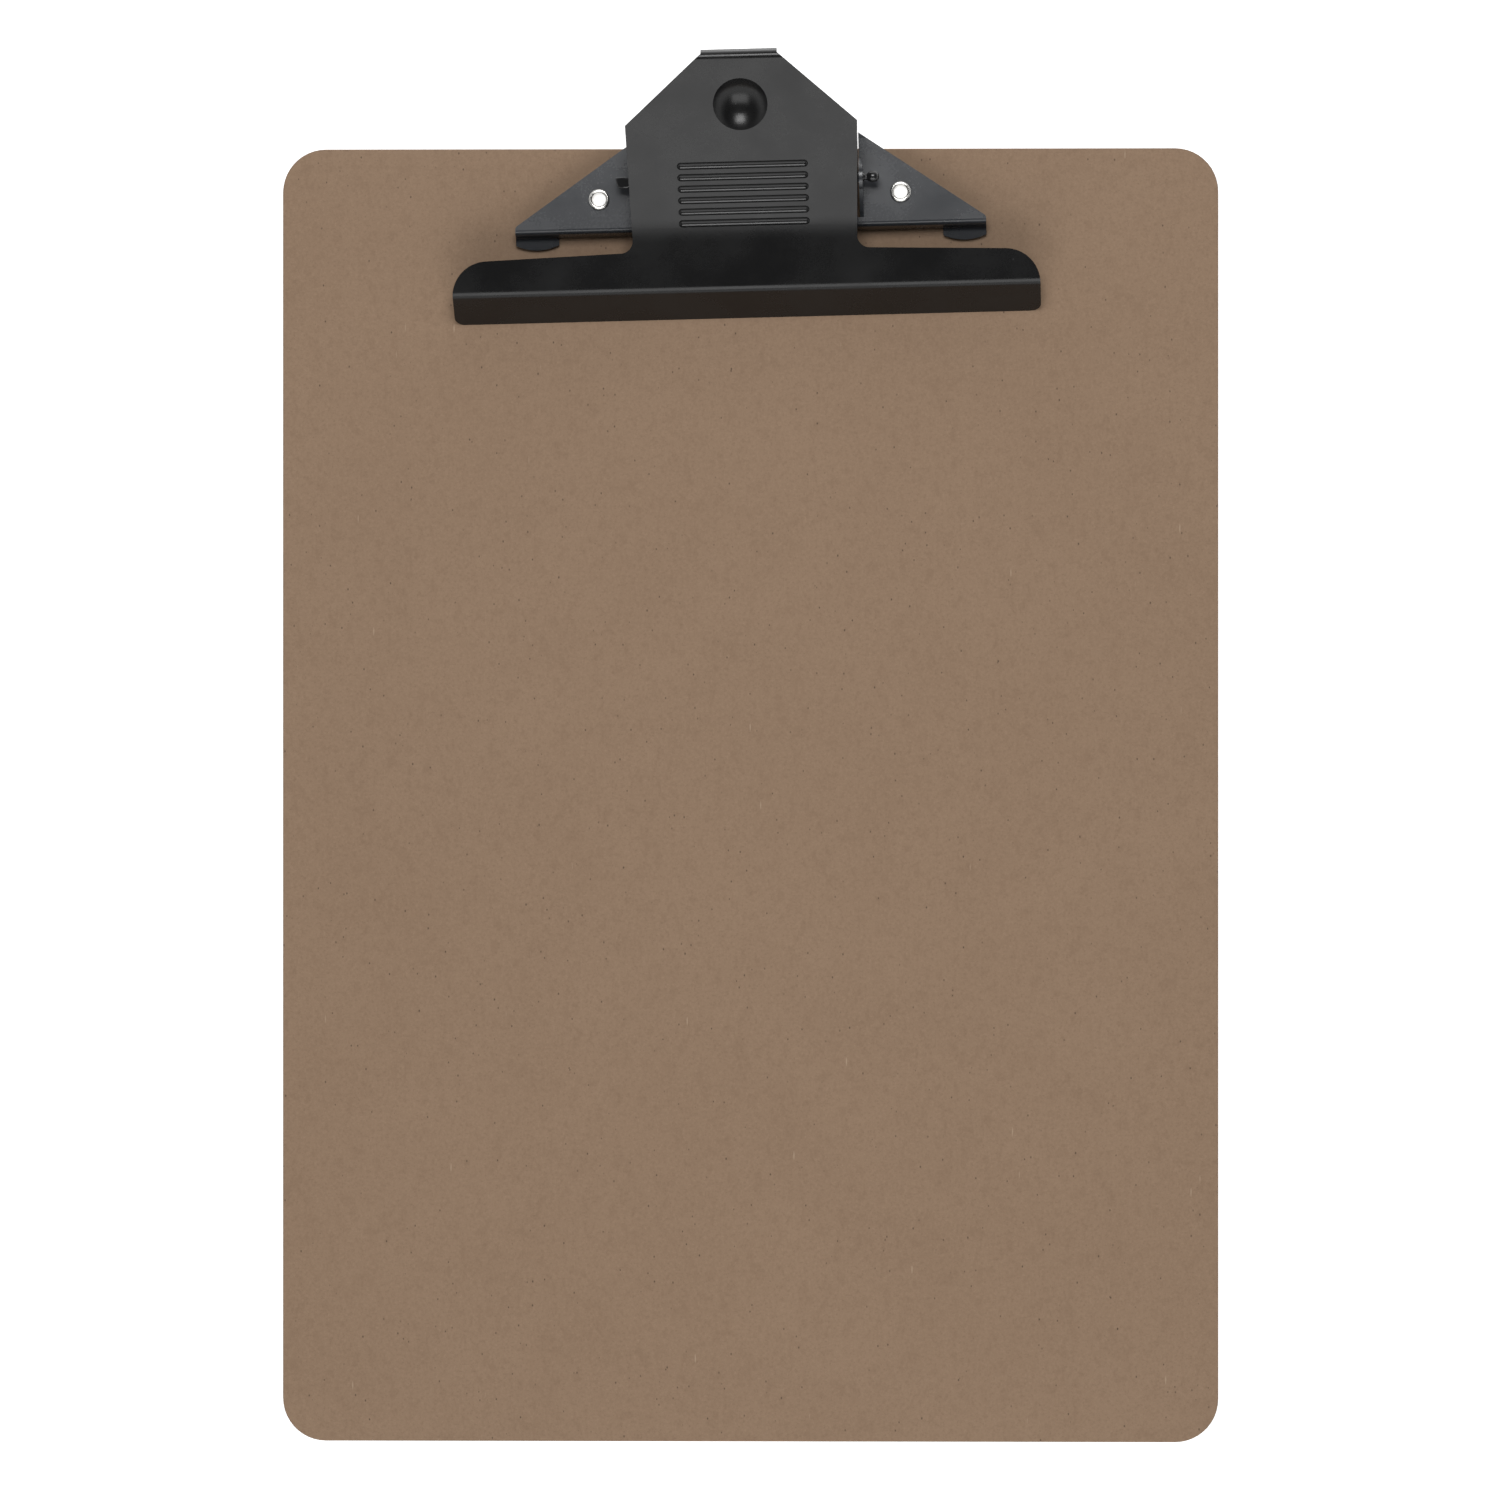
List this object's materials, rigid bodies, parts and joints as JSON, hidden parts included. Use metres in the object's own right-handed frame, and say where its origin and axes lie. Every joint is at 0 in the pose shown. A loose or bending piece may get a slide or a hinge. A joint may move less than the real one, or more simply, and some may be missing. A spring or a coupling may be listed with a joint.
{
  "type": "clipboard",
  "caption": "Hardboard clipboard with a wide sprung lever clip riveted near one short edge, for holding loose sheets while writing.",
  "frame": {"origin": "centre of the board's back face", "axes": "+Z out of the writing face, +Y along the board towards the clip, +X across it to the right"},
  "size_m": [0.228, 0.3378, 0.0315],
  "materials": {
    "hardboard": "matte fibreboard",
    "lever_black": "satin black coating",
    "base_black": "semi-gloss black coating",
    "pin_black": "gloss black coating",
    "spring_steel": "drawn spring wire",
    "nickel": "bright nickel plating"
  },
  "bodies": {
    "root": {"board": "hardboard", "base_plate": "base_black", "left_rivet": "nickel", "right_rivet": "nickel", "pivot_pin": "pin_black", "torsion_spring": "spring_steel"},
    "lever_body": {"lever": "lever_black"}
  },
  "joints": [
    {"name": "lever_hinge", "type": "hinge", "parent": "root", "child": "lever_body", "pos_m": [0, 0.1494, 0.013], "axis": [-0.9997, -0.0244, 0], "range_deg": [0, 30], "stiffness_Nm_per_rad": 0.6, "springref_deg": -57.3, "deforming": ["torsion_spring"]}
  ]
}
